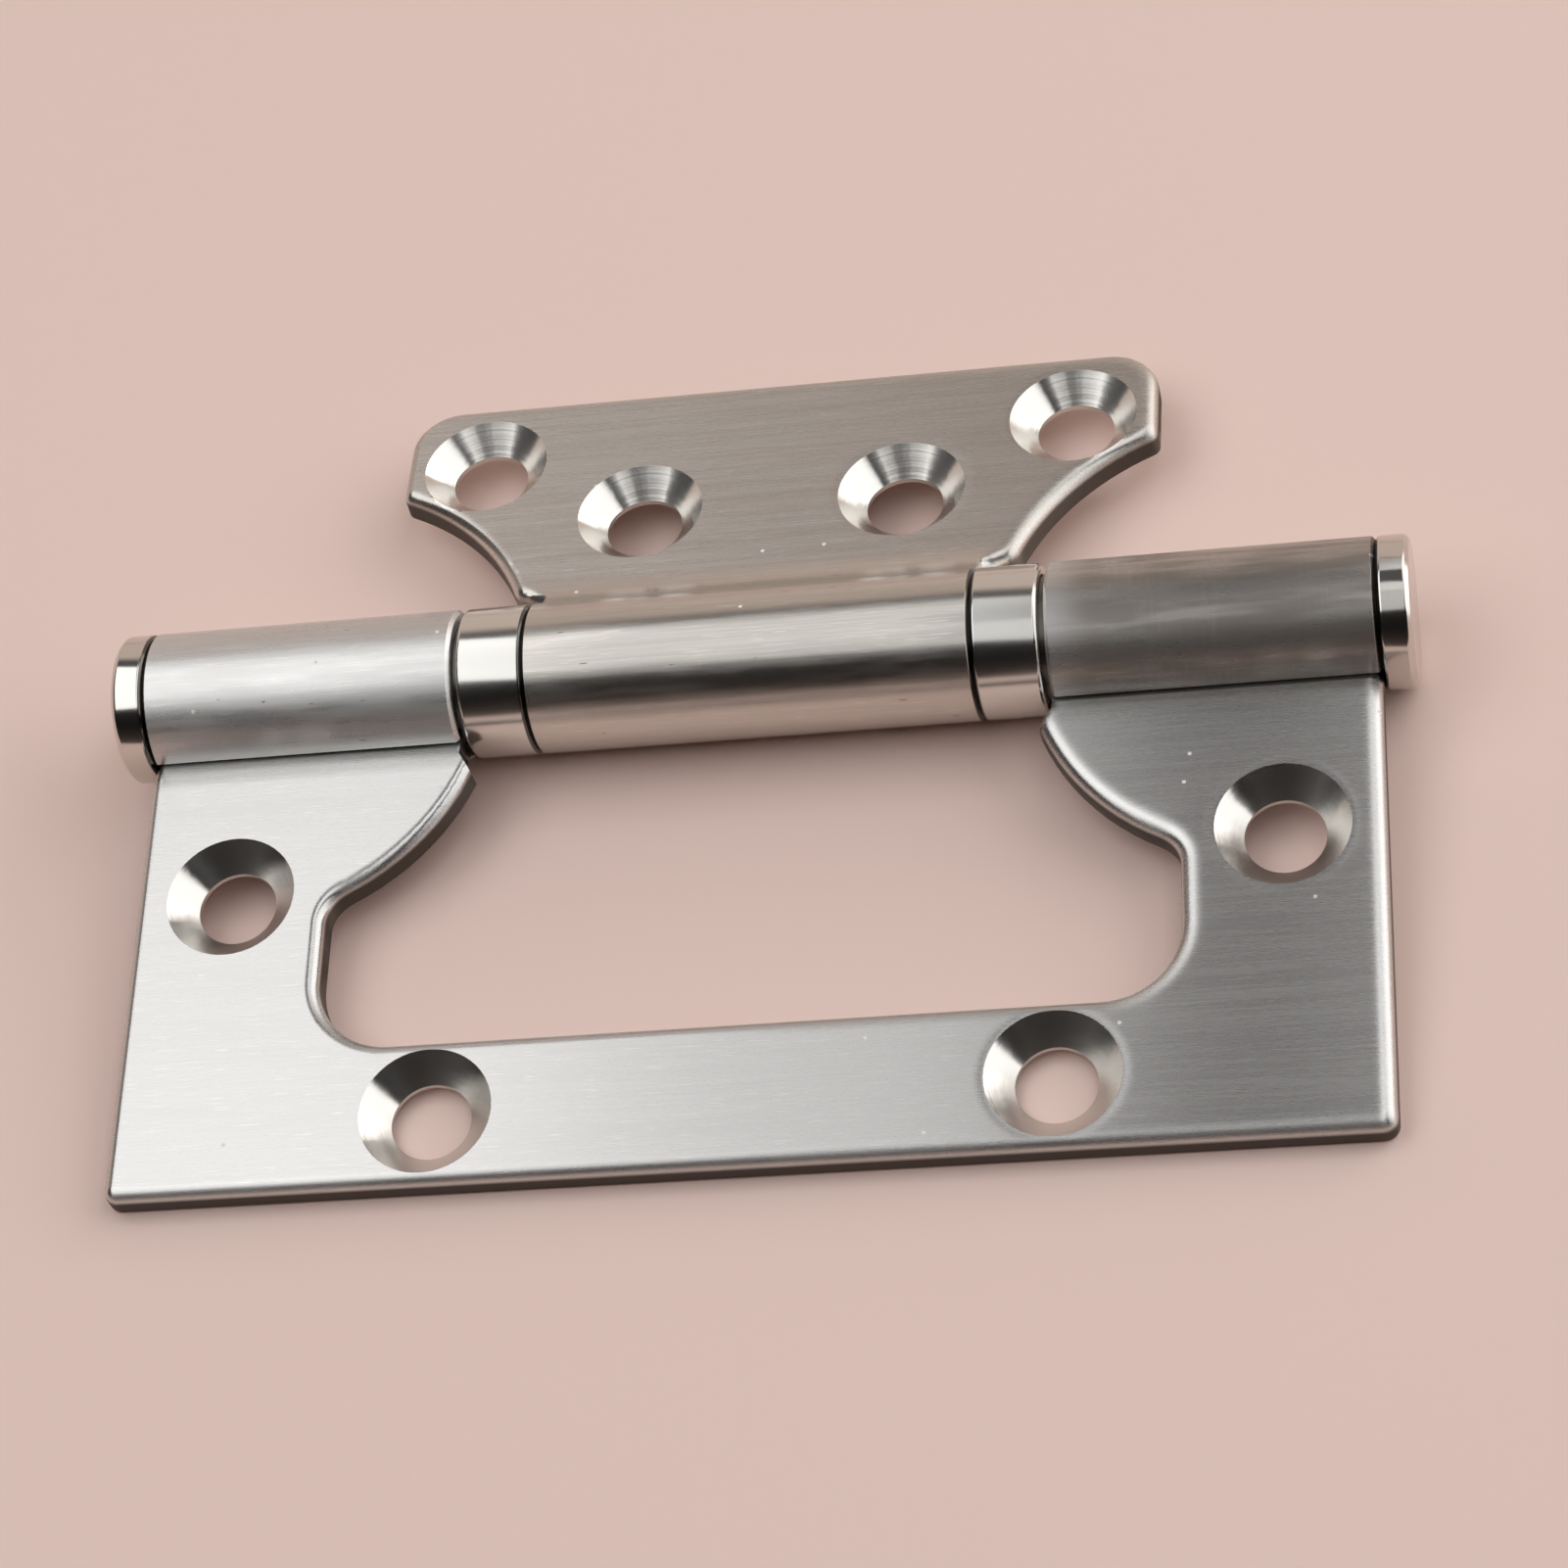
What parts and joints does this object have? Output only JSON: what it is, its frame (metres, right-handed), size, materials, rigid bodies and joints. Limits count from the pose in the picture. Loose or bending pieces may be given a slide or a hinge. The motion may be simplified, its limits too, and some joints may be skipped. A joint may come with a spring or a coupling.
{
  "type": "flush hinge",
  "caption": "Flush door hinge: a leaf with a stepped window, an inner leaf that nests in it, and a rolled barrel with ball bearings beside the middle knuckle.",
  "frame": {"origin": "on the back face of the outer leaf, midway between the two screw holes in its bridge", "axes": "+X along the pin, +Z square to the outer leaf out of its countersunk face, +Y from the bridge towards the pin"},
  "size_m": [0.1054, 0.076, 0.0129],
  "materials": {
    "leaf_steel": "stainless steel, line brushed along the pin",
    "cap_steel": "stainless steel, bright turned",
    "cup_steel": "stainless steel, polished",
    "race_steel": "hardened steel, ground, lightly greased",
    "pin_steel": "steel, ground",
    "ball_steel": "hardened steel, lapped"
  },
  "bodies": {
    "outer": {"outer_leaf": "leaf_steel", "hinge_pin": "pin_steel", "left_end_cap": "cap_steel", "right_end_cap": "cap_steel", "left_bearing_race": "race_steel", "right_bearing_race": "race_steel"},
    "inner": {"inner_leaf": "leaf_steel", "left_bearing_cup": "cup_steel", "right_bearing_cup": "cup_steel", "left_ball_01": "ball_steel", "left_ball_02": "ball_steel", "left_ball_03": "ball_steel", "left_ball_04": "ball_steel", "left_ball_05": "ball_steel", "left_ball_06": "ball_steel", "left_ball_07": "ball_steel", "left_ball_08": "ball_steel", "left_ball_09": "ball_steel", "left_ball_10": "ball_steel", "left_ball_11": "ball_steel", "left_ball_12": "ball_steel", "left_ball_13": "ball_steel", "right_ball_01": "ball_steel", "right_ball_02": "ball_steel", "right_ball_03": "ball_steel", "right_ball_04": "ball_steel", "right_ball_05": "ball_steel", "right_ball_06": "ball_steel", "right_ball_07": "ball_steel", "right_ball_08": "ball_steel", "right_ball_09": "ball_steel", "right_ball_10": "ball_steel", "right_ball_11": "ball_steel", "right_ball_12": "ball_steel", "right_ball_13": "ball_steel"}
  },
  "joints": [
    {"name": "leaf_hinge", "type": "hinge", "parent": "outer", "child": "inner", "pos_m": [0, 0.03925, 0.00125], "axis": [1, 0, 0], "range_deg": [-79.53, 190.47]}
  ]
}
